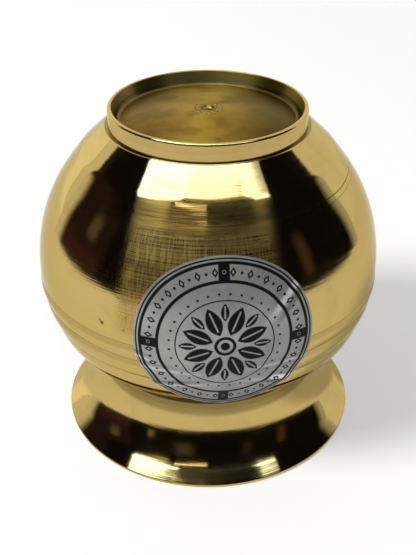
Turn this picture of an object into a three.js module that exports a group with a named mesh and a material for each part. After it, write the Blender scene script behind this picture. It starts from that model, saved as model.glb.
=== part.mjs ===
// A small brass kalash that stands on its mouth, with its foot ring up. A bottom bowl and a
// belly are brazed at a seam, a flared mouth collar is brazed under the shoulder, a foot ring
// sits on the bottom, and a round foil label is stuck on the belly.
// Millimetres, Z up. The origin is the middle of the mouth rim, on the surface it stands on.
import * as THREE from 'three';

// Sheet and clearances
const sheet = 1.0; // belly and collar wall
const bottomSheet = 1.3; // bowl wall under the foot
const fitGap = 0.3; // between pieces that don't bear on each other

// Mouth collar, from the rim up to the shoulder
const mouthRadius = 36.1;
const lipHeight = 0.9;
const flareHeight = 13.9;
const flareStartTilt = THREE.MathUtils.degToRad(3); // from upright, where the flare leaves the neck
const flareConeLength = 2.9; // the flare's last stretch, straight down to the lip
const neckRadius = 27.1;
const neckHeight = 2.7;
const throatHeight = 6.1; // hollow curve from the neck out to the flange
const throatWidth = 4.2;
const flangeHeight = 1.0;

// Belly, two half ellipses about its widest level
const bellyRadius = 39.85;
const bellyDrop = 35.7; // lower half height
const bellyRise = 38.65; // upper half height
const shoulderDepth = 18.4; // from the widest level down to the shoulder's underside
const rollRadius = 2.2; // where the shoulder turns under
const rollTilt = THREE.MathUtils.degToRad(40); // how far the bead leans in where the roll begins
const beadHeight = 6.9; // the lowest turned band, above the roll
const beadSwell = 0.5;
const bandHeights = [5.0, 4.1]; // the turned bands above the bead
const bandSwell = 0.3;
const boreLip = 0.5; // the belly's hole, outside the collar's bore

// Seam between the belly and the bowl
const seamRise = 22.6; // above the widest level
const seamWidth = 0.9;
const seamBead = 0.3; // braze that stands proud inside

// Foot
const footRadius = 22.15;
const footTaper = 0.1; // the ring leans in by this much
const footHeight = 4.0;
const footRimWall = 1.05;
const footBaseWall = 1.75;
const footChamfer = 0.2;
const ledgeWidth = 0.7; // turned ledge round the ring
const ledgeHeight = 0.25;
const coneRadius = 28.8; // inside this the wall runs straight up to the ledge
const floorRise = 1.1; // the recess floor's edge above the ring's seat
const floorDome = 1.9; // its middle above its edge
const floorSheet = 1.75; // the bowl's domed floor
const markRadius = 1.65; // lathe centre mark in the floor
const markDepth = 0.5;
const brazeSize = 0.8; // legs of the braze fillets
const brazeWaist = 0.27; // how far a fillet's hollow face stands off its corner's sides

// Foil label
const labelRadius = 19.0;
const labelTurn = THREE.MathUtils.degToRad(4.9); // from the front towards +X
const labelLift = 0.9; // centre above the widest level
const labelFoldDrop = 12.5; // below the widest level it leaves the belly and hangs straight
const labelStandOff = 0.35;
const adhesiveThickness = 0.1;
const foilThickness = 0.15;
const laminateGap = 0.05;

// Fineness
const turnSteps = 60;
const wallStep = THREE.MathUtils.degToRad(4.5);
const flareSteps = 9;
const flareSettleSteps = 30;
const throatSteps = 5;
const rollSteps = 4;
const swellSteps = 4;
const domeSteps = 6;
const labelRings = 5;
const labelWalkSteps = 40;

// Levels and radii that follow
const creaseZ = lipHeight + flareHeight;
const neckTopZ = creaseZ + neckHeight;
const flangeZ = neckTopZ + throatHeight;
const shoulderZ = flangeZ + flangeHeight;
const middleZ = shoulderZ + shoulderDepth;
const seamZ = middleZ + seamRise;
const seamTopZ = seamZ + seamWidth;
const boreRadius = neckRadius - sheet;
const flangeRadius = neckRadius + throatWidth;
const holeRadius = boreRadius + boreLip;
const ledgeRadius = footRadius + ledgeWidth;
const coneZ = middleZ + bellyRise * Math.sqrt(1 - (coneRadius / bellyRadius) ** 2);
const coneSlope = ((bellyRise / bellyRadius) ** 2 * coneRadius) / (coneZ - middleZ);
const ledgeZ = coneZ + coneSlope * (coneRadius - ledgeRadius);
const seatZ = ledgeZ + ledgeHeight;
const floorZ = seatZ + floorRise;
const rimZ = seatZ + footHeight;
const bossRadius = footRadius - footBaseWall - fitGap;
const landRadius = bossRadius - brazeSize; // the floor is level outside this, under the braze
const innerFloorZ = floorZ - floorSheet;

const brass = { color: 0xc9a65a, roughness: 0.22, metalness: 1 };
const brazeBrass = { color: 0xb8954a, roughness: 0.35, metalness: 1 };
const foil = { color: 0xb9b9b6, roughness: 0.4, metalness: 0.7 };
const gum = { color: 0xd8d4c4, roughness: 0.7, metalness: 0 };

const point = (radius, height) => new THREE.Vector2(radius, height);

// The faces of the belly's wall: how far each lies inside the outer face, at the sides and on top
const outerFace = { side: 0, top: 0 };
const innerFace = { side: sheet, top: bottomSheet };

// A point on a face of the wall, by its tilt above or below the widest level
function wallPoint(tilt, face) {
  const half = tilt > 0 ? bellyRise - face.top : bellyDrop - face.side;
  return point((bellyRadius - face.side) * Math.cos(tilt), middleZ + half * Math.sin(tilt));
}

function wallTilt(height, face) {
  const half = height > middleZ ? bellyRise - face.top : bellyDrop - face.side;
  return Math.asin((height - middleZ) / half);
}

const radiusAt = (height, face) => wallPoint(wallTilt(height, face), face).x;

// Points on a face between two heights, both ends included
function wallPoints(fromZ, toZ, face) {
  const from = wallTilt(fromZ, face);
  const to = wallTilt(toZ, face);
  const steps = Math.ceil(Math.abs(to - from) / wallStep);
  return Array.from({ length: steps + 1 }, (_, i) => (
    wallPoint(THREE.MathUtils.lerp(from, to, i / steps), face)
  ));
}

// Points on a circle arc about a centre, both ends included
function arcPoints(centre, radiusX, radiusZ, fromAngle, toAngle, steps) {
  return Array.from({ length: steps + 1 }, (_, i) => {
    const angle = THREE.MathUtils.lerp(fromAngle, toAngle, i / steps);
    return point(centre.x + radiusX * Math.cos(angle), centre.y + radiusZ * Math.sin(angle));
  });
}

// Points after the first on an arc that swells outwards from the chord between two points
function swellPoints(from, to, swell) {
  const chord = to.clone().sub(from);
  const out = point(chord.y, -chord.x).normalize();
  return Array.from({ length: swellSteps }, (_, i) => {
    const share = (i + 1) / swellSteps;
    const bulge = 4 * swell * share * (1 - share);
    return from.clone().addScaledVector(chord, share).addScaledVector(out, bulge);
  });
}

// Points on a dome that rises towards the axis, from its edge in to a radius
function domePoints(edgeRadius, edgeZ, toRadius) {
  return Array.from({ length: domeSteps + 1 }, (_, i) => {
    const radius = THREE.MathUtils.lerp(edgeRadius, toRadius, i / domeSteps);
    const share = radius / edgeRadius;
    return point(radius, edgeZ + floorDome * (1 - share * share));
  });
}

// A closed outline in the radius-height plane turned about the axis
function turned(name, outline, finish) {
  const closed = outline[0].x === 0 ? outline : [...outline, outline[0]];
  const geometry = new THREE.LatheGeometry(closed, turnSteps);
  geometry.rotateX(Math.PI / 2);
  const mesh = new THREE.Mesh(geometry, new THREE.MeshStandardMaterial(finish));
  mesh.name = name;
  return mesh;
}

// The flare leaves the neck in an arc and ends in a straight cone at the lip. The cone runs
// on from the arc, so the arc's last tilt is found by closing in on it
function flareArc() {
  let endTilt = flareStartTilt;
  for (let i = 0; i < flareSettleSteps; i += 1) {
    const reach = mouthRadius - neckRadius - flareConeLength * Math.sin(endTilt);
    const drop = flareHeight - flareConeLength * Math.cos(endTilt);
    endTilt = 2 * Math.atan2(reach, drop) - flareStartTilt;
  }
  const drop = flareHeight - flareConeLength * Math.cos(endTilt);
  const radius = drop / (Math.sin(endTilt) - Math.sin(flareStartTilt));
  const centre = point(
    neckRadius + radius * Math.cos(flareStartTilt),
    creaseZ + radius * Math.sin(flareStartTilt),
  );
  return { centre, radius, endTilt };
}

// The arc's points from the cone up to the crease; offset is measured away from its centre
function flarePoints(offset) {
  const { centre, radius, endTilt } = flareArc();
  const size = radius + offset;
  return arcPoints(centre, size, size, Math.PI + endTilt, Math.PI + flareStartTilt, flareSteps);
}

function mouthCollar() {
  const throat = arcPoints(
    point(flangeRadius, neckTopZ),
    throatWidth, throatHeight, Math.PI, Math.PI / 2, throatSteps,
  );
  return turned('mouth_collar', [
    point(mouthRadius, 0),
    point(mouthRadius, lipHeight),
    ...flarePoints(0),
    ...throat,
    point(flangeRadius, shoulderZ),
    point(boreRadius, shoulderZ),
    ...flarePoints(sheet).reverse(),
    point(mouthRadius - sheet, 0),
  ], brass);
}

function bellyShell() {
  const rollEndZ = shoulderZ + rollRadius * (1 - Math.sin(rollTilt));
  const rollEnd = point(radiusAt(rollEndZ, outerFace), rollEndZ);
  const rollCentre = point(rollEnd.x - rollRadius * Math.cos(rollTilt), shoulderZ + rollRadius);
  const outside = arcPoints(rollCentre, rollRadius, rollRadius, -Math.PI / 2, -rollTilt, rollSteps);
  let level = rollEndZ + beadHeight;
  outside.push(...swellPoints(rollEnd, point(radiusAt(level, outerFace), level), beadSwell));
  for (const height of bandHeights) {
    const from = outside.at(-1);
    level += height;
    outside.push(...swellPoints(from, point(radiusAt(level, outerFace), level), bandSwell));
  }
  return turned('belly_shell', [
    point(holeRadius, shoulderZ),
    ...outside,
    ...wallPoints(level, seamZ, outerFace).slice(1),
    ...wallPoints(seamZ, shoulderZ + sheet, innerFace),
    point(holeRadius, shoulderZ + sheet),
  ], brass);
}

function bottomBowl() {
  return turned('bottom_bowl', [
    ...domePoints(radiusAt(innerFloorZ, innerFace), innerFloorZ, 0).reverse(),
    ...wallPoints(innerFloorZ, seamTopZ, innerFace).slice(1),
    ...wallPoints(seamTopZ, coneZ, outerFace),
    point(ledgeRadius, ledgeZ),
    point(ledgeRadius, seatZ),
    point(bossRadius, seatZ),
    point(bossRadius, floorZ),
    ...domePoints(landRadius, floorZ, markRadius),
    point(0, floorZ + floorDome - markDepth),
  ], brass);
}

function footRing() {
  const innerRadius = footRadius - footRimWall;
  const rimRadius = footRadius - footTaper;
  return turned('foot_ring', [
    point(footRadius, seatZ),
    point(rimRadius, rimZ - footChamfer),
    point(rimRadius - footChamfer, rimZ),
    point(innerRadius + footChamfer, rimZ),
    point(innerRadius, rimZ - footChamfer),
    point(footRadius - footBaseWall, floorZ),
    point(footRadius - footBaseWall, seatZ),
  ], brass);
}

function seamBraze() {
  const inner = radiusAt(seamTopZ, innerFace) - seamBead;
  return turned('seam_braze', [
    ...wallPoints(seamZ, seamTopZ, outerFace),
    point(inner, seamTopZ),
    point(inner, seamZ),
  ], brazeBrass);
}

// Below the shoulder, outside the collar's flange
function neckBraze() {
  const legRadius = flangeRadius + fitGap;
  return turned('neck_braze', [
    point(legRadius, shoulderZ - brazeSize),
    point(legRadius + brazeWaist, shoulderZ - brazeWaist),
    point(legRadius + brazeSize, shoulderZ),
    point(legRadius, shoulderZ),
  ], brazeBrass);
}

// On the recess floor, inside the foot ring
function footBraze() {
  return turned('foot_braze', [
    point(landRadius, floorZ),
    point(bossRadius, floorZ),
    point(bossRadius, floorZ + brazeSize),
    point(bossRadius - brazeWaist, floorZ + brazeWaist),
  ], brazeBrass);
}

// Where a point of the label lies, across and up from its centre. The label follows the wall
// down to the fold and hangs straight below it
function labelPlace(across, up, standOff) {
  const foldTilt = -Math.asin(labelFoldDrop / bellyDrop);
  const pace = up / labelWalkSteps;
  let tilt = Math.asin(labelLift / bellyRise);
  let hang = 0;
  for (let i = 0; i < labelWalkSteps; i += 1) {
    const half = tilt > 0 ? bellyRise : bellyDrop;
    if (tilt > foldTilt) {
      tilt += pace / Math.hypot(bellyRadius * Math.sin(tilt), half * Math.cos(tilt));
    } else {
      hang -= pace;
    }
  }
  const half = tilt > 0 ? bellyRise : bellyDrop;
  const base = wallPoint(tilt, outerFace);
  const out = point(Math.cos(tilt) / bellyRadius, Math.sin(tilt) / half).normalize();
  const turn = labelTurn + across / base.x;
  const radius = base.x + out.x * standOff + out.y * hang;
  const height = base.y + out.y * standOff - out.x * hang;
  return [radius * Math.sin(turn), -radius * Math.cos(turn), height];
}

// A round patch that lies over the belly: a flat disc, bent to the wall
function patch(name, standOff, thickness, finish) {
  const reaches = Array.from({ length: labelRings + 1 }, (_, i) => (labelRadius * i) / labelRings);
  const mesh = turned(name, [
    ...reaches.map((reach) => point(reach, 0)),
    ...reaches.reverse().map((reach) => point(reach, thickness)),
  ], finish);
  const places = mesh.geometry.getAttribute('position');
  for (let i = 0; i < places.count; i += 1) {
    const distance = standOff + places.getZ(i);
    places.setXYZ(i, ...labelPlace(places.getX(i), places.getY(i), distance));
  }
  mesh.geometry.computeVertexNormals();
  return mesh;
}

const kalash = new THREE.Group();
kalash.add(
  mouthCollar(),
  bellyShell(),
  bottomBowl(),
  footRing(),
  seamBraze(),
  neckBraze(),
  footBraze(),
  patch('label_adhesive', labelStandOff, adhesiveThickness, gum),
  patch('label_foil', labelStandOff + adhesiveThickness + laminateGap, foilThickness, foil),
);

export default kalash;
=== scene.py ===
import math

import bmesh
import bpy
from mathutils import Matrix, Vector, noise


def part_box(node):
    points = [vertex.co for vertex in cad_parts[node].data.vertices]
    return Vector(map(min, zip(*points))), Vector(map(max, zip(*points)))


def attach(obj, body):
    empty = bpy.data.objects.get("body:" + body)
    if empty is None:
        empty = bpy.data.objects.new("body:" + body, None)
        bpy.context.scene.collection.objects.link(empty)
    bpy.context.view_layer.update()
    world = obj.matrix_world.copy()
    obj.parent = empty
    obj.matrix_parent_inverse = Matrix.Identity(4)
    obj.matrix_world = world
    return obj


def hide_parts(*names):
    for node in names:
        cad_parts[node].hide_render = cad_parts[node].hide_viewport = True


mm = 0.001
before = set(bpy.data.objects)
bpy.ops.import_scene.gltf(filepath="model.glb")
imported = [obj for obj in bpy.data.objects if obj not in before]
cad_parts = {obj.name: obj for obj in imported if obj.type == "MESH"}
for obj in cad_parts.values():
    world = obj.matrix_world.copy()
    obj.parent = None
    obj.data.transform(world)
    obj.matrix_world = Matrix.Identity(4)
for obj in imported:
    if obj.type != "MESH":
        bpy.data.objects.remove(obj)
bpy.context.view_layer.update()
print("frame loaded:", ", ".join(sorted(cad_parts)))

# the view of the pot, and the picture's own size in pixels
viewpoint = {
    "aimHeight": 34.93 * mm,
    "aside": -0.03 * mm,
    "distance": 220.8 * mm,
    "tiltDown": math.radians(32.32),
    "roll": math.radians(-0.1),
    "focalPixels": 900,
    "imageHeight": 555,
    "sensor": 36,
    "clipStart": 0.01,
}


def placeCamera(v):
    data = bpy.data.cameras.new("camera")
    data.sensor_width = v["sensor"]
    data.lens = v["focalPixels"] / v["imageHeight"] * v["sensor"]
    data.clip_start = v["clipStart"]
    camera = bpy.data.objects.new("camera", data)
    back = Vector((0, -math.cos(v["tiltDown"]), math.sin(v["tiltDown"])))
    place = Vector((v["aside"], 0, v["aimHeight"])) + back * v["distance"]
    turn = Matrix.Rotation(math.pi / 2 - v["tiltDown"], 4, "X") @ Matrix.Rotation(v["roll"], 4, "Z")
    camera.matrix_world = Matrix.Translation(place) @ turn
    bpy.context.scene.collection.objects.link(camera)
    bpy.context.scene.camera = camera


placeCamera(viewpoint)
bpy.context.scene.view_settings.view_transform = "Standard"
print("camera placed")


# shader sums: a socket that can be added, scaled and compared like a number
class Signal:
    def __init__(self, graph, socket):
        self.graph = graph
        self.socket = socket

    def maths(self, operation, *values):
        return self.graph.node("ShaderNodeMath", {"operation": operation}, dict(enumerate(values)))

    def __add__(self, other):
        return self.maths("ADD", self, other)

    def __radd__(self, other):
        return self.maths("ADD", other, self)

    def __sub__(self, other):
        return self.maths("SUBTRACT", self, other)

    def __rsub__(self, other):
        return self.maths("SUBTRACT", other, self)

    def __mul__(self, other):
        return self.maths("MULTIPLY", self, other)

    def __rmul__(self, other):
        return self.maths("MULTIPLY", other, self)

    def __truediv__(self, other):
        return self.maths("DIVIDE", self, other)

    def __pow__(self, other):
        return self.maths("POWER", self, other)

    def __abs__(self):
        return self.maths("ABSOLUTE", self)

    def __mod__(self, other):
        return self.maths("FLOORED_MODULO", self, other)

    # the larger of the two
    def most(self, other):
        return self.maths("MAXIMUM", self, other)

    # the angle in radians whose tangent is this over the other
    def angle(self, other):
        return self.maths("ARCTAN2", self, other)

    # 0 below low, 1 above high, with a soft step between
    def step(self, low, high):
        return self.graph.node(
            "ShaderNodeMapRange",
            {"interpolation_type": "SMOOTHSTEP"},
            {"Value": self, "From Min": low, "From Max": high},
        )

    # 1 within half a width of a level, fading over the edge
    def band(self, level, width, edge):
        return 1 - abs(self - level).step(width / 2, width / 2 + edge)


def length(first, *others):
    total = first * first
    for part in others:
        total = total + part * part
    return total ** 0.5


# the nodes of one material, or of the world
class Finish:
    def __init__(self, owner):
        owner.use_nodes = True
        self.owner = owner
        self.tree = owner.node_tree
        self.tree.nodes.clear()

    def node(self, kind, settings, inputs, output=0):
        made = self.tree.nodes.new(kind)
        for key, value in settings.items():
            if key == "stops":
                self.setStops(made.color_ramp, value)
            else:
                setattr(made, key, value)
        for key, value in inputs.items():
            if isinstance(value, Signal):
                self.tree.links.new(value.socket, made.inputs[key])
            else:
                made.inputs[key].default_value = value
        return Signal(self, made.outputs[output]) if made.outputs else None

    def setStops(self, ramp, stops):
        while len(ramp.elements) < len(stops):
            ramp.elements.new(1.0)
        for element, (position, tone) in zip(ramp.elements, stops):
            element.position = position
            element.color = (*tone, 1)

    # Object coordinates in millimetres
    def place(self):
        made = self.node("ShaderNodeTexCoord", {}, {}, "Object")
        scaled = self.node("ShaderNodeVectorMath", {"operation": "SCALE"}, {0: made, "Scale": 1 / mm})
        return [self.node("ShaderNodeSeparateXYZ", {}, {0: scaled}, axis) for axis in "XYZ"]

    def noise(self, vector, scale, detail=2.0, roughness=0.5):
        return self.node(
            "ShaderNodeTexNoise", {},
            {"Vector": vector, "Scale": scale, "Detail": detail, "Roughness": roughness},
        )

    def vector(self, x, y, z):
        return self.node("ShaderNodeCombineXYZ", {}, {0: x, 1: y, 2: z})

    def mix(self, share, low, high):
        return self.node("ShaderNodeMix", {"data_type": "RGBA"}, {0: share, 6: low, 7: high}, 2)

    def bump(self, height, depth, under=None):
        inputs = {"Height": height, "Distance": depth, "Strength": 1.0}
        if under:
            inputs["Normal"] = under
        return self.node("ShaderNodeBump", {}, inputs)

    # with a share, a second copy of the shader with the values in other is mixed in
    def surface(self, inputs, kind="ShaderNodeBsdfPrincipled", share=None, other=None):
        shader = self.node(kind, {}, inputs)
        if share:
            second = self.node(kind, {}, {**inputs, **other})
            shader = self.node("ShaderNodeMixShader", {}, {0: share, 1: shader, 2: second})
        self.node("ShaderNodeOutputMaterial", {}, {"Surface": shader})
        return self.owner


def colour(red, green, blue):
    return (red, green, blue, 1.0)


def grey(level):
    return colour(level, level, level)


# turned brass: lathe lines round the axis, scratches across them, tarnish, painted shade in creases,
# corners and hollows, dark seam joints, and painted shade inside the foot ring. The finish works in
# millimetres
brass = {
    "bright": colour(0.54, 0.395, 0.135),
    "tarnish": colour(0.3, 0.25, 0.12),
    # painted shade in creases, corners, hollows, dent spots and pits, and the dark of seam joints
    "shadeAndJoint": colour(0.06, 0.038, 0.008),
    "edge": colour(0.8, 0.75, 0.6),
    "scratch": colour(0.48, 0.29, 0.065),
    "roughness": 0.07,
    "brushedRoughness": 0.13,
    "brushing": 0.9,
    "brushingTurn": 0.25,
    "lineDepth": 0.02 * mm,
    "waveDepth": 0.02 * mm,
    # coarse, fine and hair lines: pace across the pot and along the wall, detail, roughness
    "lines": ((0.02, 0.8, 2.0, 0.6), (0.04, 3.2, 1.0, 0.5), (0.07, 6.0, 0.0, 0.5)),
    # pace round the pot and along the wall, detail, roughness
    "scratches": (85.0, 0.14, 2.0, 0.6),
    # pace, detail, roughness
    "clouds": (0.09, 3.0, 0.6),
    "patches": (0.16, 2.0, 0.5),
    "patchShift": 40.0,  # keeps the patches apart from the clouds
    # where each of these noises begins to show and shows in full
    "rubbed": (0.42, 0.68),
    "tarnished": (0.5, 0.8),
    "darkLines": (0.38, 0.5),
    "litHairlines": (0.4, 0.6),
    "litScratches": (0.42, 0.66),
}
# the brushed front of the belly and bowl, in radians round the pot and millimetres up
wear = {
    "turn": (-0.04, 0.8, 0.1),
    "level": (59.0, 26.0, 5.0),
    "crossedTop": (61.0, 69.0),
    "crossedSide": (-0.1, 0.5),
    "sharpFrom": (64.0, 68.5),
}
# the rough floor inside the foot ring, its colour darkened as painted shade of the recess, with the
# rough mark that the lathe left in its middle, whose pits get painted shade and painted highlights
floor = {
    "radius": (21.2, 21.3),
    "softness": 0.1,
    "drift": 6.0,
    "greyFrom": (4, 18),
    "oliveFrom": (2, 18),
    "olivePatches": (0.45, 0.62),
    "olivePatchShare": 0.45,
    "markRadius": (2.8, 4.2),
    "pits": (1.7, 2.0, 0.6),
    "shadedPits": (0.5, 0.6),
    "litPits": (0.38, 0.46),
    "pitDepth": 14.0,
}
# where a dark band starts round the pot, rises to full and fades at the back, in radians from the
# front; all round is a start before every angle
grooveFade = {"allRound": -9, "seamStart": 0.3, "rise": 0.3, "back": (2.5, 3.0)}


# a dark band for turnedBrass: painted shade in creases, corners and hollows, and at the seams a dark
# joint;
# shape is how far it lies above a level, its width and its soft edge, in millimetres, then its
# darkness
def shadeAndJointAt(level, shape, start=grooveFade["allRound"]):
    above, *rest = shape
    return (level / mm + above, *rest, start)


# painted shade of the recess: gold, going grey to the left, olive to the right and olive in patches,
# all darker than the bright brass
def floorColour(f, recess, x, clouds, patches):
    left = (x * -1.0 + clouds * floor["drift"]).step(*floor["greyFrom"])
    right = (x + clouds * floor["drift"]).step(*floor["oliveFrom"])
    tone = f.mix(left, recess["gold"], recess["grey"])
    tone = f.mix(right, tone, recess["olive"])
    patched = patches.step(*floor["olivePatches"]) * floor["olivePatchShare"]
    return f.mix(patched, tone, recess["olive"])


def turnedBrass(name, shadesAndJoints=(), brushed=False, roughness=brass["roughness"], recess=None, dentShades=()):
    f = Finish(bpy.data.materials.new(name))
    x, y, z = f.place()
    reach = length(x, y)
    along = z * 1.3 - reach * 0.35  # runs along the wall, and never stands still on it
    angle = x.angle(y * -1.0)
    coarse, fine, hairlines = [
        f.noise(f.vector(x * aside, y * aside, along * pace), 1.0, *look)
        for aside, pace, *look in brass["lines"]
    ]
    aside, pace, *look = brass["scratches"]
    scratches = f.noise(f.vector(angle * aside, along * pace, 3.0), 1.0, *look)
    clouds = f.noise(f.vector(x, y, z), *brass["clouds"])
    patches = f.noise(f.vector(x + brass["patchShift"], y, z), *brass["patches"])
    # rubbed patches all over, a brushed front, scratched across below and sharper above
    rub = patches.step(*brass["rubbed"])
    worn = angle.band(*wear["turn"]) * z.band(*wear["level"]) * float(brushed)
    crossed = worn * (1 - z.step(*wear["crossedTop"])) * (1 - angle.step(*wear["crossedSide"]) * 0.5)
    sharp = worn * z.step(*wear["sharpFrom"])
    rough = roughness + (coarse - 0.5) * 0.05 + rub * 0.02 + worn * 0.02 - sharp * 0.05
    lineShare = 0.15 + rub * 0.35 + worn * 0.6 + crossed * 0.3 - sharp * 0.5
    height = fine * lineShare + (coarse - 0.5) * 0.6 + (scratches - 0.5) * (rub * 0.2 + crossed * 0.5)
    metal = f.mix(clouds.step(*brass["tarnished"]) * 0.3, brass["bright"], brass["tarnish"])
    fineDark = (1 - hairlines.step(*brass["darkLines"])) * (0.1 + worn * 0.2)
    metal = f.mix(fineDark, metal, brass["tarnish"])
    crossDark = (1 - scratches.step(*brass["darkLines"])) * crossed * 0.3
    metal = f.mix(crossDark, metal, brass["tarnish"])
    # inside the foot ring the colour is darkened as painted shade of the recess
    if recess:
        low, soft = recess["low"], floor["softness"]
        inside = z.step(low - soft, low + soft) * (1 - reach.step(*floor["radius"]))
        tone = floorColour(f, recess, x, clouds, patches)
        pits = f.noise(f.vector(x, y, 0.0), *floor["pits"])
        # the pits of the lathe mark: painted shade in some and painted highlights on others, over
        # their bumps
        mark = inside * (1 - reach.step(*floor["markRadius"]))
        tone = f.mix(mark * pits.step(*floor["shadedPits"]) * 0.8, tone, brass["shadeAndJoint"])
        tone = f.mix(mark * (1 - pits.step(*floor["litPits"])) * 0.7, tone, brass["bright"])
        metal = f.mix(inside, metal, tone)
        rough = rough + inside * recess["roughness"]
        height = height + mark * pits * floor["pitDepth"]
    # dark bands: painted shade in creases, corners and hollows, and at the seams a dark joint
    for level, width, edge, share, start in shadesAndJoints:
        dark = z.band(level, width, edge) * angle.step(start, start + grooveFade["rise"]) * share
        dark = dark * (1 - angle.step(*grooveFade["back"]) * float(start > 0))
        metal = f.mix(dark, metal, brass["shadeAndJoint"])
        rough = rough + dark * 0.2
    # painted shade: each small dent is a dark spot of colour, with no dent in the shape
    for at, size in dentShades:
        away = length(x - at[0], y - at[1], z - at[2])
        metal = f.mix((1 - away.step(size * 0.5, size)) * 0.8, metal, brass["shadeAndJoint"])
    ripple = f.bump(clouds, brass["waveDepth"])
    looks = {
        "Base Color": metal,
        "Metallic": 1.0,
        "Roughness": rough,
        "Specular Tint": brass["edge"],
        "Anisotropic": brass["brushing"],
        "Anisotropic Rotation": brass["brushingTurn"],
        "Normal": f.bump(height, brass["lineDepth"], ripple),
    }
    if not brushed:
        return f.surface(looks)
    # the brushed lines and scratches shine more than the polish between them
    lined = worn * (0.24 + hairlines.step(*brass["litHairlines"]) * 0.38)
    lined = lined + crossed * scratches.step(*brass["litScratches"]) * 0.38
    blurred = rough + brass["brushedRoughness"] + crossed * 0.09
    return f.surface(looks, share=lined, other={"Base Color": brass["scratch"], "Roughness": blurred})


# outlines are (radius, height) points in metres
def arcPoints(centre, radii, start, end, steps):
    angles = [start + (end - start) * i / steps for i in range(steps + 1)]
    return [
        (centre[0] + radii[0] * math.cos(a), centre[1] + radii[1] * math.sin(a))
        for a in angles
    ]


# points after the first on a shallow arc that bulges outwards between two points
def swellPoints(start, end, swell, steps):
    run = Vector(end) - Vector(start)
    out = Vector((run.y, -run.x)).normalized()
    shares = [(i + 1) / steps for i in range(steps)]
    return [tuple(Vector(start) + run * s + out * 4 * swell * s * (1 - s)) for s in shares]


# a long straight run gets a point close to each end, which keeps its shading flat
def supported(outline, longRun=1.2 * mm, close=0.07 * mm):
    points = [outline[0]]
    for start, end in zip(outline, outline[1:]):
        run = Vector(end) - Vector(start)
        if run.length > longRun:
            step = run.normalized() * close
            points += [tuple(Vector(start) + step), tuple(Vector(end) - step)]
        points.append(end)
    return points


spinSteps = 180
mergeDistance = 0.0005 * mm


def spunBmesh(outline):
    bm = bmesh.new()
    outline = supported(outline)
    corners = [bm.verts.new((radius, 0, height)) for radius, height in outline]
    edges = [bm.edges.new(pair) for pair in zip(corners, corners[1:])]
    if outline[0][0] > 0:
        edges.append(bm.edges.new((corners[-1], corners[0])))
    bmesh.ops.spin(
        bm, geom=corners + edges, cent=(0, 0, 0), axis=(0, 0, 1),
        angle=2 * math.pi, steps=spinSteps, use_merge=True,
    )
    bmesh.ops.remove_doubles(bm, verts=bm.verts, dist=mergeDistance)
    bmesh.ops.recalc_face_normals(bm, faces=bm.faces)
    return bm


def finishPiece(name, bm, material, body="root", node=None, sharpAngle=25):
    for face in bm.faces:
        face.smooth = True
    limit = math.radians(sharpAngle)
    for edge in bm.edges:
        edge.smooth = len(edge.link_faces) == 2 and edge.calc_face_angle(0) < limit
    mesh = bpy.data.meshes.new(name)
    bm.to_mesh(mesh)
    bm.free()
    mesh.materials.append(material)
    piece = bpy.data.objects.new(name, mesh)
    bpy.context.scene.collection.objects.link(piece)
    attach(piece, body)
    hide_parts(node)
    print("made", name, len(mesh.polygons), "faces")
    return piece


sheet = 1.0 * mm
bottomSheet = 1.3 * mm

collar = {
    "lipHeight": 0.9 * mm,
    "lipRound": 0.28 * mm,
    "lipChamfer": 0.1 * mm,
    "lipSteps": 5,
    "flareHeight": 13.9 * mm,
    "flareStart": math.radians(3),
    "flareSteps": 40,
    "coneLength": 2.9 * mm,
    "neckRadius": 27.1 * mm,
    "neckHeight": 2.7 * mm,
    "throatWidth": 4.2 * mm,
    "throatSteps": 20,
    "flangeHeight": 1.0 * mm,
    "creaseShades": ((-0.1, 0.2, 1.2, 0.4), (2.6, 2.0, 2.2, 0.6)),
    "throatShade": (22.0, 8.2, 0.5, 0.9),
}


def collarPiece(c):
    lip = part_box("mouth_collar")[1].x
    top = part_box("mouth_collar")[1].z
    start = c["flareStart"]
    creaseZ = c["lipHeight"] + c["flareHeight"]
    end = start
    for _ in range(30):  # closes in on the arc whose last tilt is the cone's
        reach = lip - c["neckRadius"] - c["coneLength"] * math.sin(end)
        drop = c["flareHeight"] - c["coneLength"] * math.cos(end)
        end = 2 * math.atan2(reach, drop) - start
    size = drop / (math.sin(end) - math.sin(start))
    centre = (c["neckRadius"] + size * math.cos(start), creaseZ + size * math.sin(start))
    r = c["lipRound"]
    lipOut = arcPoints((lip - r, r), (r, r), -math.pi / 2, 0, c["lipSteps"])
    lipUp = arcPoints((lip - r, c["lipHeight"] - r), (r, r), 0, math.pi / 2 - end, c["lipSteps"])
    outside = arcPoints(centre, (size, size), math.pi + end, math.pi + start, c["flareSteps"])
    inside = arcPoints(centre, (size + sheet,) * 2, math.pi + start, math.pi + end, c["flareSteps"])
    neckZ = creaseZ + c["neckHeight"]
    throatRadii = (c["throatWidth"], top - c["flangeHeight"] - neckZ)
    flange = c["neckRadius"] + c["throatWidth"]
    throat = arcPoints((flange, neckZ), throatRadii, math.pi, math.pi / 2, c["throatSteps"])
    bore = c["neckRadius"] - sheet
    inner = lip - sheet
    outline = lipOut + lipUp + outside + throat + [(flange, top), (bore, top)]
    outline += inside + [(inner, c["lipChamfer"]), (inner + c["lipChamfer"], 0)]
    shadesAndJoints = [shadeAndJointAt(creaseZ, shape) for shape in c["creaseShades"]]
    shadesAndJoints.append(shadeAndJointAt(0.0, c["throatShade"]))
    material = turnedBrass("collar_brass", shadesAndJoints=shadesAndJoints)
    finishPiece("collar", spunBmesh(outline), material, node="mouth_collar")


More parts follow.
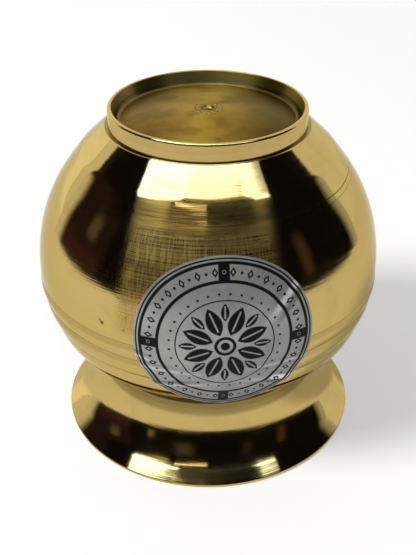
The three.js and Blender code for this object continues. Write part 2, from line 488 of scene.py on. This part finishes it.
belly = {
    "radius": 39.85 * mm,
    "drop": 35.7 * mm,
    "rise": 38.65 * mm,
    "shoulderDepth": 18.4 * mm,
    "rollRadius": 2.2 * mm,
    "rollTilt": math.radians(40),
    "rollSteps": 10,
    # painted shade under the roll, in the crease over the bead, and in and just under the crease over
    # each band
    "rollShade": (0.25, 1.0, 0.3, 0.9),
    "beadHeight": 6.9 * mm,
    "beadSwell": 0.5 * mm,
    "beadSteps": 16,
    "beadCreaseShade": (0.0, 0.1, 0.1, 0.8),
    "bandHeights": (5.0 * mm, 4.1 * mm),
    "bandSwell": 0.38 * mm,
    "bandSteps": 12,
    "bandCreaseShade": (0.0, 0.05, 0.08, 0.5),
    "bandShade": (-0.7, 0.6, 1.0, 0.22),
    "seamGroove": (0.0, 0.1, 0.1, 0.7),
    "holeRadius": 26.6 * mm,
    # dark spots of painted shade where small dents are: place in millimetres, then size
    "dentShades": (((-22.2, -33.1, 44.8), 0.6), ((-22.5, -32.6, 45.3), 0.4), ((-17.5, -35.8, 44.7), 0.35)),
}
belly["middle"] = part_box("belly_shell")[0].z + belly["shoulderDepth"]


# half the height of the belly's ellipse, which differs above and below its middle
def halfHeight(above, inset=0.0, topInset=0.0):
    return belly["rise"] - topInset if above > 0 else belly["drop"] - inset


def wallPoint(tilt, inset=0.0, topInset=0.0):
    half = halfHeight(tilt, inset, topInset)
    return ((belly["radius"] - inset) * math.cos(tilt), belly["middle"] + half * math.sin(tilt))


def wallPoints(fromZ, toZ, inset=0.0, topInset=0.0, stepAngle=math.radians(1.2)):
    tilts = []
    for height in (fromZ, toZ):
        above = height - belly["middle"]
        tilts.append(math.asin(above / halfHeight(above, inset, topInset)))
    steps = max(1, math.ceil(abs(tilts[1] - tilts[0]) / stepAngle))
    spread = [tilts[0] + (tilts[1] - tilts[0]) * i / steps for i in range(steps + 1)]
    return [wallPoint(tilt, inset, topInset) for tilt in spread]


def wallRadius(height):
    return wallPoints(height, height)[0][0]


def bellyPiece(b):
    low, high = (corner.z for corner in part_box("belly_shell"))
    roll = b["rollRadius"]
    rollEndZ = low + roll * (1 - math.sin(b["rollTilt"]))
    rollEnd = (wallRadius(rollEndZ), rollEndZ)
    rollCentre = (rollEnd[0] - roll * math.cos(b["rollTilt"]), low + roll)
    outside = arcPoints(rollCentre, (roll, roll), -math.pi / 2, -b["rollTilt"], b["rollSteps"])
    level = rollEndZ + b["beadHeight"]
    outside += swellPoints(rollEnd, (wallRadius(level), level), b["beadSwell"], b["beadSteps"])
    shadesAndJoints = [
        shadeAndJointAt(level, b["beadCreaseShade"]),
        shadeAndJointAt(high, b["seamGroove"], grooveFade["seamStart"]),
        shadeAndJointAt(low, b["rollShade"]),
    ]
    for height in b["bandHeights"]:
        level += height
        end = (wallRadius(level), level)
        outside += swellPoints(outside[-1], end, b["bandSwell"], b["bandSteps"])
        shadesAndJoints.append(shadeAndJointAt(level, b["bandCreaseShade"]))
        shadesAndJoints.append(shadeAndJointAt(level, b["bandShade"]))
    outline = [(b["holeRadius"], low), *outside, *wallPoints(level, high)[1:]]
    outline += wallPoints(high, low + sheet, sheet, bottomSheet)
    outline.append((b["holeRadius"], low + sheet))
    material = turnedBrass("belly_brass", shadesAndJoints=shadesAndJoints, brushed=True, dentShades=b["dentShades"])
    finishPiece("belly", spunBmesh(outline), material, node="belly_shell")


bowl = {
    "ledgeRadius": 22.85 * mm,
    "ledgeHeight": 0.25 * mm,
    # millimetres out from the ledge's radius and up from its foot, and below up from its top
    "ledgeFoot": ((0.05, 0.0), (0.0, 0.04)),
    "ledgeTop": ((-0.02, -0.08), (-0.12, 0.0)),
    # painted shade in the corner where the ledge meets the foot ring
    "ledgeCornerShade": (-0.02, 0.04, 0.05, 0.5),
    "turnFrom": 31.9 * mm,
    "turns": ((29.6 * mm, 38), (28.8 * mm, 40), (27.9 * mm, 46)),
    "turnSteps": 8,
    "floorRise": 1.1 * mm,
    "floorDome": 1.9 * mm,
    "floorSheet": 1.75 * mm,
    "floorTo": 3.6 * mm,
    "floorSteps": 40,
    "innerSteps": 24,
    "bossRadius": 20.1 * mm,
    "landWidth": 0.8 * mm,
    "markRadius": 1.75 * mm,
    # the lathe's centre mark: millimetres from the axis and down from the floor
    "mark": ((1.6, 0.05), (1.35, 0.35), (1.0, 0.55), (0.6, 0.5), (0.35, 0.12), (0.0, 0.08)),
    "recessAbove": 0.3,
    # colours of painted shade on the floor inside the foot ring
    "recess": {
        "gold": colour(0.32, 0.19, 0.024),
        "olive": colour(0.07, 0.042, 0.006),
        "grey": colour(0.17, 0.098, 0.018),
        "roughness": 0.24,
    },
}


def domePoint(radius, edgeRadius, edgeZ):
    return (radius, edgeZ + bowl["floorDome"] * (1 - (radius / edgeRadius) ** 2))


def domePoints(edgeRadius, edgeZ, toRadius, steps):
    radii = [edgeRadius + (toRadius - edgeRadius) * i / steps for i in range(steps + 1)]
    return [domePoint(radius, edgeRadius, edgeZ) for radius in radii]


# the outer wall up to the straight run below the ledge: the belly's curve, then a quick turn,
# given by radii and by how far the wall faces upwards there, in degrees
def shoulderPoints(low):
    radius = bowl["turnFrom"]
    angle = math.acos(radius / belly["radius"])
    height = belly["middle"] + belly["rise"] * math.sin(angle)
    tilt = math.atan2(math.sin(angle) / belly["rise"], math.cos(angle) / belly["radius"])
    points = wallPoints(low, height)
    for toRadius, degrees in bowl["turns"]:
        step = (radius - toRadius) / bowl["turnSteps"]
        change = (math.radians(degrees) - tilt) / bowl["turnSteps"]
        for _ in range(bowl["turnSteps"]):
            radius -= step
            height += step / math.tan(tilt + change / 2)
            tilt += change
            points.append((radius, height))
    return points


def bowlPiece(b):
    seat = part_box("foot_ring")[0].z
    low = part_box("bottom_bowl")[0].z
    ledgeZ = seat - b["ledgeHeight"]
    floorZ = seat + b["floorRise"]
    innerZ = floorZ - b["floorSheet"]
    land = b["bossRadius"] - b["landWidth"]
    above = (innerZ - belly["middle"]) / (belly["rise"] - bottomSheet)
    innerEdge = (belly["radius"] - sheet) * math.cos(math.asin(above))
    outline = domePoints(innerEdge, innerZ, 0, b["innerSteps"])[::-1]
    outline += wallPoints(innerZ, low, sheet, bottomSheet)[1:]
    outline += shoulderPoints(low)
    outline += [(b["ledgeRadius"] + out * mm, ledgeZ + up * mm) for out, up in b["ledgeFoot"]]
    outline += [(b["ledgeRadius"] + out * mm, seat + up * mm) for out, up in b["ledgeTop"]]
    outline += [(b["bossRadius"], seat), (b["bossRadius"], floorZ)]
    outline += domePoints(land, floorZ, b["floorTo"], b["floorSteps"])
    outline.append(domePoint(b["markRadius"], land, floorZ))
    topZ = outline[-1][1]
    outline += [(r * mm, topZ - depth * mm) for r, depth in b["mark"]]
    recess = {**b["recess"], "low": seat / mm + b["recessAbove"]}
    shadesAndJoints = [
        shadeAndJointAt(low, belly["seamGroove"], grooveFade["seamStart"]),
        shadeAndJointAt(seat, b["ledgeCornerShade"]),
    ]
    material = turnedBrass("bowl_brass", shadesAndJoints=shadesAndJoints, brushed=True, recess=recess)
    finishPiece("bowl", spunBmesh(outline), material, node="bottom_bowl")


foot = {
    "radius": 22.15 * mm,
    "taper": 0.1 * mm,
    "chamfer": 0.05 * mm,
    "rimWall": 1.05 * mm,
    "baseWall": 1.75 * mm,
    "rimRound": 0.5 * mm,
    "rimSteps": 8,
    "rimRoundInside": 0.25 * mm,
    "rimStepsInside": 6,
    # painted shade in the corner where the ring stands on the ledge
    "shadeAndJoint": (0.0, 0.1, 0.1, 0.6),
    "roughness": 0.16,
    "recessAbove": 0.2,
    # colours of painted shade on the inside of the foot ring
    "recess": {
        "gold": colour(0.34, 0.25, 0.07),
        "olive": colour(0.3, 0.22, 0.035),
        "grey": colour(0.3, 0.21, 0.08),
        "roughness": 0.16,
    },
}


def footPiece(ring):
    low, high = (corner.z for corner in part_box("foot_ring"))
    out = ring["radius"] - ring["taper"]
    inner = ring["radius"] - ring["rimWall"]
    base = ring["radius"] - ring["baseWall"]
    r, s = ring["rimRound"], ring["rimRoundInside"]
    outline = [(ring["radius"] - ring["chamfer"], low), (ring["radius"], low + ring["chamfer"])]
    outline += arcPoints((out - r, high - r), (r, r), 0, math.pi / 2, ring["rimSteps"])
    outline += arcPoints((inner + s, high - s), (s, s), math.pi / 2, math.pi, ring["rimStepsInside"])
    outline += [(base, low + bowl["floorRise"]), (base, low)]
    recess = {**ring["recess"], "low": low / mm + ring["recessAbove"]}
    shadesAndJoints = [shadeAndJointAt(low, ring["shadeAndJoint"])]
    material = turnedBrass("foot_brass", shadesAndJoints=shadesAndJoints, roughness=ring["roughness"], recess=recess)
    finishPiece("footRing", spunBmesh(outline), material, node="foot_ring")


braze = {
    "legs": 0.8 * mm,
    "waist": 0.27 * mm,
    "gap": 0.3 * mm,
    "inside": 0.3 * mm,
    "recessAbove": -0.5,
    # colours of painted shade on the braze in the corner inside the foot ring
    "recess": {
        "gold": colour(0.2, 0.14, 0.03),
        "olive": colour(0.1, 0.07, 0.015),
        "grey": colour(0.15, 0.1, 0.03),
        "roughness": 0.25,
    },
}


def brazePieces(b):
    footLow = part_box("foot_braze")[0].z
    recess = {**b["recess"], "low": footLow / mm + b["recessAbove"]}
    material = turnedBrass("braze_brass", brushed=True, recess=recess)
    low, high = (corner.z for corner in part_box("seam_braze"))
    inner = wallPoints(high, high, sheet, bottomSheet)[0][0] - b["inside"]
    outline = [*wallPoints(low, high), (inner, high), (inner, low)]
    finishPiece("seamBraze", spunBmesh(outline), material, node="seam_braze")
    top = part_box("neck_braze")[1].z
    leg = collar["neckRadius"] + collar["throatWidth"] + b["gap"]
    outline = [
        (leg, top - b["legs"]),
        (leg + b["waist"], top - b["waist"]),
        (leg + b["legs"], top),
        (leg, top),
    ]
    finishPiece("neckBraze", spunBmesh(outline), material, node="neck_braze")
    boss = bowl["bossRadius"]
    outline = [
        (boss - b["legs"], footLow),
        (boss, footLow),
        (boss, footLow + b["legs"]),
        (boss - b["waist"], footLow + b["waist"]),
    ]
    finishPiece("footBraze", spunBmesh(outline), material, node="foot_braze")


collarPiece(collar)
bellyPiece(belly)
bowlPiece(bowl)
footPiece(foot)
brazePieces(braze)
print("brass done")


label = {
    "radius": 19.0 * mm,
    "turn": math.radians(4.9),
    "lift": 0.9 * mm,
    "foldDrop": 12.5 * mm,
    "standOff": 0.35 * mm,
    "gumThickness": 0.1 * mm,
    "foilThickness": 0.15 * mm,
    "gap": 0.05 * mm,
    "rings": 48,
    "sectors": 160,
    "paces": 40,
    "sharpAngle": 40,
    # the lowest part, from this level down in label radii, is drawn in a little
    "flapFrom": -0.6,
    "flapSoftness": 0.04,
    "flapDraw": 0.03,
    # a crease lifts the top of a layer more than its underside: by the height in the layer and
    # the root, as a share of the depth
    "creaseRoot": 0.1 * mm,
    "creaseDepth": 0.25 * mm,
    "creaseFade": 0.75,
    "unevenness": 0.05,
    "unevenPace": (4, 5),
}


# where a point of the label lies, across and up from its middle; below the fold it hangs free
def labelPlace(across, up, distance):
    fold = -math.asin(label["foldDrop"] / belly["drop"])
    tilt = math.asin(label["lift"] / belly["rise"])
    pace = up / label["paces"]
    hang = 0.0
    for _ in range(label["paces"]):
        if tilt > fold:
            half = halfHeight(tilt)
            tilt += pace / math.hypot(belly["radius"] * math.sin(tilt), half * math.cos(tilt))
        else:
            hang -= pace
    out = Vector((math.cos(tilt) / belly["radius"], math.sin(tilt) / halfHeight(tilt))).normalized()
    radius, height = wallPoint(tilt)
    turn = label["turn"] + across / radius
    radius += out.x * distance + out.y * hang
    height += out.y * distance - out.x * hang
    return Vector((radius * math.sin(turn), -radius * math.cos(turn), height))


# creases in the label: from and to, in label radii across and up, then height in millimetres
# and half width in label radii
creases = (
    ((-0.95, -0.33), (0.1, -0.39), 0.2, 0.045),
    ((0.95, -0.36), (-0.1, -0.38), 0.16, 0.04),
    ((-0.78, -0.62), (0.2, -0.5), 0.3, 0.045),
    ((0.78, -0.62), (0.0, -0.54), 0.25, 0.04),
    ((0.72, -0.66), (0.38, -0.5), 0.3, 0.05),
    ((-1.0, -0.17), (-0.72, -0.25), 0.3, 0.04),
    ((0.84, 0.6), (0.4, 0.1), 0.45, 0.07),
    ((0.1, 0.98), (-0.08, 0.2), 0.06, 0.05),
)
# where the rim is bent in and runs straight: from and to, in degrees round the label
straights = ((-161, -141), (-38, -18), (30, 44))


def clamped(value):
    return max(0.0, min(1.0, value))


# where a point of the round label goes, drawn in at the straight places and at the flap
def bent(across, up):
    angle = math.degrees(math.atan2(up, across))
    share = 1.0
    for start, end in straights:
        if start < angle < end:
            half = math.radians(end - start) / 2
            share = math.cos(half) / math.cos(math.radians(angle - (start + end) / 2))
    flap = clamped((label["flapFrom"] - up / label["radius"]) / label["flapSoftness"])
    return across * share * (1 - label["flapDraw"] * flap), up * share


def wrinkle(across, up):
    place = Vector((across, up)) / label["radius"]
    paceAcross, paceUp = label["unevenPace"]
    rise = label["unevenness"] * noise.noise(Vector((place.x * paceAcross, place.y * paceUp, 2.0)))
    for start, end, height, width in creases:
        run = Vector(end) - Vector(start)
        share = clamped((place - Vector(start)).dot(run) / run.length_squared)
        away = (place - Vector(start) - run * share).length / width
        rise += height * (1 - label["creaseFade"] * share) * math.exp(-away * away)
    return rise * mm


def labelPiece(name, distance, thickness, material, node):
    bm = bmesh.new()
    reaches = [label["radius"] * i / label["rings"] for i in range(label["rings"] + 1)]
    outline = [bm.verts.new((reach, 0, 0)) for reach in reaches]
    outline += [bm.verts.new((reach, 0, thickness)) for reach in reversed(reaches)]
    edges = [bm.edges.new(pair) for pair in zip(outline, outline[1:])]
    bmesh.ops.spin(
        bm, geom=outline + edges, cent=(0, 0, 0), axis=(0, 0, 1),
        angle=2 * math.pi, steps=label["sectors"], use_merge=True,
    )
    bmesh.ops.remove_doubles(bm, verts=bm.verts, dist=mergeDistance)
    bmesh.ops.recalc_face_normals(bm, faces=bm.faces)
    layer = bm.loops.layers.uv.new("label")
    for face in bm.faces:
        for loop in face.loops:
            loop[layer].uv = Vector(loop.vert.co.xy) / (2 * label["radius"]) + Vector((0.5, 0.5))
    for vert in bm.verts:
        across, up, above = vert.co
        crease = wrinkle(across, up) * (above + label["creaseRoot"]) / label["creaseDepth"]
        vert.co = labelPlace(*bent(across, up), distance + above + crease)
    finishPiece(name, bm, material, node=node, sharpAngle=label["sharpAngle"])


# printed foil: silver, with black rings, a border of lozenges and dots, and a rosette.
# Places and sizes are in label radii
foil = {
    "silver": colour(0.37, 0.37, 0.35),
    # silver darkened by smudges and by painted shade
    "smudgeAndShade": colour(0.24, 0.24, 0.225),
    # painted highlight on the creases
    "creaseHighlight": grey(0.8),
    "ink": grey(0.004),
    "blur": 0.006,
    "rings": ((0.968, 0.01), (0.925, 0.026), (0.73, 0.028)),
    "ringBlur": 0.008,
    "borderReach": 0.828,
    "borderRepeats": 28,
    "lozenge": 0.052,
    "lozengeHole": 0.022,
    "lozengeSlimness": 1.5,
    "borderDot": 0.016,
    "dotReach": 0.6,
    "dotRepeats": 32,
    "dot": 0.014,
    "thinRing": (0.53, 0.008),
    "petals": 8,
    # two rings of petals: shift round, middle, length, width
    "petalRings": ((0.0, 0.31, 0.17, 0.085), (0.5, 0.4, 0.1, 0.045)),
    "vein": 0.008,
    "veinShare": 0.7,
    "blocks": 4,
    "block": (0.06, 0.09),
    "blockHole": (0.014, 0.026),
    "hubRing": (0.1, 0.03),
    "hub": (0.045, 0.055),
    "printTo": (0.985, 0.99),
    # pace, detail, roughness
    "smudges": (3.0, 3.0, 0.6),
    "grain": (30.0, 1.0, 0.5),
    "metallic": 0.5,
    "roughness": 0.3,
    "specular": 0.1,
    "grainDepth": 0.01 * mm,
}


# how much of the label's pattern is inked
def printedInk(x, y, reach):
    turns = y.angle(x) / (2 * math.pi)

    # distance round the circle from the middle of the nearest of some repeats
    def around(repeats, shift=0.0):
        return ((turns * float(repeats) + shift) % 1.0 - 0.5) * reach * (2 * math.pi / repeats)

    def inked(distance, size):
        return 1 - distance.step(size - foil["blur"], size + foil["blur"])

    marks = [reach.band(level, width, foil["ringBlur"]) for level, width in foil["rings"]]
    # lozenges, each a dark frame, and dots between them
    upward = abs(reach - foil["borderReach"])
    lozenge = abs(around(foil["borderRepeats"])) * foil["lozengeSlimness"] + upward
    marks.append(inked(lozenge, foil["lozenge"]) - inked(lozenge, foil["lozengeHole"]))
    marks.append(inked(length(around(foil["borderRepeats"], 0.5), upward), foil["borderDot"]))
    marks.append(inked(length(around(foil["dotRepeats"]), reach - foil["dotReach"]), foil["dot"]))
    marks.append(reach.band(*foil["thinRing"], foil["blur"]))
    # petals are leaf shapes, each with a pale vein
    for shift, middle, long, wide in foil["petalRings"]:
        across = abs(around(foil["petals"], shift))
        outward = abs(reach - middle)
        leaf = across + outward * outward * (wide / long ** 2)
        vein = inked(across, foil["vein"]) * inked(outward, long * foil["veinShare"])
        marks.append(inked(leaf, wide) - vein)
    # solid blocks in the border, each with a pale ring
    across = abs(around(foil["blocks"], 0.5))
    block = inked(across, foil["block"][0]) * inked(upward, foil["block"][1])
    marks.append(block * length(across, upward).step(*foil["blockHole"]))
    marks.append(reach.band(*foil["hubRing"], foil["blur"]))
    marks.append(1 - reach.step(*foil["hub"]))
    ink = marks[0]
    for mark in marks[1:]:
        ink = ink.most(mark)
    return ink * (1 - reach.step(*foil["printTo"]))


# how a crease shows in painted light: how far out its painted highlight and painted shade lie and how
# wide they are, in its half widths, and where it starts and ends along its run
creaseLook = {
    "aside": 0.5,
    "width": 0.4,
    "start": (-0.1, 0.05),
    "end": (0.2, 1.05),
    "strength": 2.5,
}


# above 0 on the side of a crease with a painted highlight, below 0 on its side with painted shade
def creaseTone(x, y):
    aside, width, strength = (creaseLook[key] for key in ("aside", "width", "strength"))
    tones = []
    for start, end, height, half in creases:
        run = Vector(end) - Vector(start)
        along = ((x - start[0]) * run.x + (y - start[1]) * run.y) / run.length_squared
        away = ((x - start[0]) * run.y - (y - start[1]) * run.x) / run.length
        lit = away.band(half * aside, half * width, half)
        dark = away.band(half * -aside, half * width, half)
        fade = along.step(*creaseLook["start"]) * (1 - along.step(*creaseLook["end"]))
        tones.append((lit - dark) * fade * (height * strength))
    return sum(tones)


def foilFinish():
    f = Finish(bpy.data.materials.new("label_foil"))
    spot = f.node("ShaderNodeUVMap", {"uv_map": "label"}, {})
    x = f.node("ShaderNodeSeparateXYZ", {}, {0: spot}, 0) * 2.0 - 1.0
    y = f.node("ShaderNodeSeparateXYZ", {}, {0: spot}, 1) * 2.0 - 1.0

    def flecks(pace, *look):
        return f.noise(f.vector(x * pace, y * pace, 0.0), 1.0, *look)

    ink = printedInk(x, y, length(x, y))
    smudge = flecks(*foil["smudges"])
    grain = flecks(*foil["grain"])
    # smudges, and painted shade darkening the silver towards the lower right
    smudgeAndShadeShare = smudge.step(0.3, 0.7) * 0.5 + (x * 0.7 - y).step(-0.3, 1.0) * 0.4
    silver = f.mix(smudgeAndShadeShare, foil["silver"], foil["smudgeAndShade"])
    # painted light on the creases: a painted highlight on one side, and on the other painted shade in
    # the ink's colour
    tone = creaseTone(x, y)
    silver = f.mix(tone.step(0.0, 1.0), silver, foil["creaseHighlight"])
    silver = f.mix((tone * -1.0).step(0.0, 1.0) * 0.5, silver, foil["ink"])
    return f.surface({
        "Base Color": f.mix(ink, silver, foil["ink"]),
        "Metallic": foil["metallic"] - ink * foil["metallic"],
        "Roughness": foil["roughness"] + ink * 0.1 + smudge * 0.08,
        "Specular IOR Level": foil["specular"],
        "Normal": f.bump(grain, foil["grainDepth"]),
    })


gum = {
    "deep": colour(0.62, 0.6, 0.52),
    "pale": colour(0.72, 0.7, 0.62),
    "cloudPace": 0.4,
    "roughness": 0.6,
}


def gumFinish():
    f = Finish(bpy.data.materials.new("label_gum"))
    clouds = f.noise(f.vector(*f.place()), gum["cloudPace"])
    return f.surface({
        "Base Color": f.mix(clouds, gum["deep"], gum["pale"]),
        "Roughness": gum["roughness"],
    })


labelPiece(
    "labelGum", label["standOff"], label["gumThickness"], gumFinish(), "label_adhesive",
)
labelPiece(
    "label", label["standOff"] + label["gumThickness"] + label["gap"], label["foilThickness"],
    foilFinish(), "label_foil",
)
print("label done")


# the studio: a pale paper sweep, a dim room seen only in the metal, and soft lamps; in metres
studio = {
    "sweepFront": -1.6,
    "sweepBack": 1.3,
    "sweepBend": 0.4,
    "sweepTop": 0.75,
    "sweepHalfWidth": 1.6,
    "bendSegments": 16,
    "paperDrop": 0.05 * mm,
    "paperTone": 0.8,
    "paperRoughness": 0.9,
    "paperLift": 0.35,
    "farLift": 0.5,
    "fadeFrom": 0.5,
    "fadeTo": 1.4,
    "roomFrom": math.radians(-118),
    "roomTo": math.radians(111),
    "roomSteps": 64,
    "roomOutline": ((0.36, 0), (0.62, 0.35), (0.72, 0.8), (0.5, 1.15), (0.02, 1.3)),
    "eyeHeight": 50 * mm,
    "lampDistance": 4.0,
    "worldFill": 0.2,
}


# 1 where the camera looks, by itself or by way of metal or glass
def seenRays(f):
    seen = f.node("ShaderNodeLightPath", {}, {}, "Is Camera Ray")
    for ray in ("Is Glossy Ray", "Is Transmission Ray"):
        seen = seen.most(f.node("ShaderNodeLightPath", {}, {}, ray))
    return seen


# the paper gets a little lighter away from the pot, where the lamps reach it less
def paperFinish(s):
    f = Finish(bpy.data.materials.new("paper"))
    x, y, z = f.place()
    far = length(x, y).step(s["fadeFrom"] / mm, s["fadeTo"] / mm)
    lift = f.mix(far, grey(s["paperLift"]), grey(s["farLift"]))
    return f.surface({
        "Base Color": grey(s["paperTone"]),
        "Roughness": s["paperRoughness"],
        "Specular IOR Level": 0.0,
        "Emission Color": f.mix(seenRays(f), grey(0), lift),
        "Emission Strength": 1.0,
    })


def stagePiece(name, bm, material, smooth):
    mesh = bpy.data.meshes.new(name)
    bm.to_mesh(mesh)
    bm.free()
    mesh.materials.append(material)
    for face in mesh.polygons:
        face.use_smooth = smooth
    piece = bpy.data.objects.new(name, mesh)
    bpy.context.scene.collection.objects.link(piece)
    return piece


def paperSweep(s):
    bm = bmesh.new()
    low = -s["paperDrop"]
    places = [(s["sweepFront"], low), (s["sweepBack"], low), (s["sweepBack"], s["sweepTop"])]
    corners = [bm.verts.new((-s["sweepHalfWidth"], y, z)) for y, z in places]
    for pair in zip(corners, corners[1:]):
        bm.edges.new(pair)
    bmesh.ops.bevel(
        bm, geom=[corners[1]], offset=s["sweepBend"], segments=s["bendSegments"],
        profile=0.5, affect="VERTICES", material=-1,
    )
    grown = bmesh.ops.extrude_edge_only(bm, edges=bm.edges[:])["geom"]
    moved = [item for item in grown if isinstance(item, bmesh.types.BMVert)]
    bmesh.ops.translate(bm, verts=moved, vec=(2 * s["sweepHalfWidth"], 0, 0))
    stagePiece("paper", bm, paperFinish(s), False)


# lower edge of the bright ceiling: degrees round from the front, degrees up
ceilingEdge = (
    (-119, 66), (-100, 61), (-88, 55), (-78, 47), (-69, 41), (-60, 44), (-48, 49), (-37, 53.5),
    (-32, 56), (-30, 62), (-10, 62.5), (25, 62.5), (46, 61), (50, 49), (64, 45), (69, 51), (78, 56),
    (100, 61), (118, 66),
)
# its light on the left, the right and the far right, and the degrees over which one gives way
# to the next and over which its edge is soft
ceiling = {
    "left": colour(4.4, 5.4, 7.6),
    "right": colour(3.4, 4.2, 5.8),
    "far": colour(0.64, 0.7, 0.86),
    "toRight": (-45, -15),
    "toFar": (58, 75),
    "softness": (-0.5, 1.0),
}
roomDark = colour(0.006, 0.005, 0.004)
# things in the room: from and to round the front, from and to upwards and softness, all in
# degrees, then colour
roomThings = (
    (-122, -66, -8, 34, 8, (0.024, 0.014, 0.022)),
    (-112, -70, -8, 7, 5, (0.05, 0.018, 0.024)),
    (-92, -78, 8, 26, 6, (0.13, 0.11, 0.09)),
    (-64, -34, 38, 54, 9, (0.8, 0.78, 0.5)),
    (-56, -45, -2, 14, 6, (0.25, 0.23, 0.14)),
    (-34, -1, 48.5, 50.8, 0.5, (4.4, 4.2, 3.6)),
    (-34, -8, 8, 40, 12, (0.08, 0.07, 0.05)),
    (26, 42, 8, 40, 12, (0.06, 0.042, 0.03)),
    (58, 72, -4, 28, 8, (0.085, 0.05, 0.035)),
    (-130, -106, -30, 22, 8, (0.9, 0.9, 0.9)),
    (101, 130, -30, 28, 8, (0.6, 0.6, 0.6)),
)


def roomFinish():
    f = Finish(bpy.data.materials.new("room"))
    x, y, z = f.place()
    turn = x.angle(y * -1.0) * (180 / math.pi)
    rise = (z - studio["eyeHeight"] / mm).angle(length(x, y)) * (180 / math.pi)
    # the ramp holds the edge as a share of a right angle, all round the room
    stops = [((away + 180) / 360, (up / 90,) * 3) for away, up in ceilingEdge]
    edge = f.node("ShaderNodeValToRGB", {"stops": stops}, {"Fac": (turn + 180.0) / 360.0})
    bright = (rise - edge * 90.0).step(*ceiling["softness"])
    light = f.mix(turn.step(*ceiling["toRight"]), ceiling["left"], ceiling["right"])
    light = f.mix(turn.step(*ceiling["toFar"]), light, ceiling["far"])
    seen = roomDark
    for left, right, low, high, soft, tone in roomThings:
        share = turn.step(left, left + soft) * (1 - turn.step(right - soft, right))
        share = share * rise.step(low, low + soft) * (1 - rise.step(high - soft, high))
        seen = f.mix(share, seen, colour(*tone))
    seen = f.mix(bright, seen, light)
    return f.surface({"Color": seen, "Strength": 1.0}, "ShaderNodeEmission")


def roomShell(s):
    bm = bmesh.new()
    start = Matrix.Rotation(s["roomFrom"], 4, "Z")
    outline = [bm.verts.new(start @ Vector((0, -reach, z))) for reach, z in s["roomOutline"]]
    edges = [bm.edges.new(pair) for pair in zip(outline, outline[1:])]
    bmesh.ops.spin(
        bm, geom=outline + edges, cent=(0, 0, 0), axis=(0, 0, 1),
        angle=s["roomTo"] - s["roomFrom"], steps=s["roomSteps"],
    )
    room = stagePiece("room", bm, roomFinish(), True)
    room.visible_camera = False
    room.visible_diffuse = False
    room.visible_shadow = False


# degrees round from the front, degrees up, size in metres, light on a facing surface, tint
lamps = {
    "key": (-66, 42, 1.4, 0.62, (1.0, 0.99, 0.97)),
    "front": (10, 32, 2.0, 0.15, (0.97, 0.99, 1.0)),
}


def softLamp(name, turn, rise, size, level, tint):
    a, h = math.radians(turn), math.radians(rise)
    away = Vector((math.sin(a) * math.cos(h), -math.cos(a) * math.cos(h), math.sin(h)))
    facing = away.to_track_quat("Z", "Y").to_matrix().to_4x4()
    data = bpy.data.lights.new(name, "AREA")
    data.shape = "DISK"
    data.size = size
    data.energy = 4 * math.pi * level * studio["lampDistance"] ** 2
    data.color = tint
    lamp = bpy.data.objects.new(name, data)
    lamp.matrix_world = Matrix.Translation(away * studio["lampDistance"]) @ facing
    lamp.visible_glossy = False
    bpy.context.scene.collection.objects.link(lamp)


def paleWorld(s):
    f = Finish(bpy.data.worlds.new("world"))
    sky = f.mix(seenRays(f), grey(s["worldFill"]), grey(1))
    background = f.node("ShaderNodeBackground", {}, {"Color": sky, "Strength": 1.0})
    f.node("ShaderNodeOutputWorld", {}, {"Surface": background})
    bpy.context.scene.world = f.owner


paperSweep(studio)
roomShell(studio)
for name, values in lamps.items():
    softLamp(name, *values)
paleWorld(studio)
print("studio done")
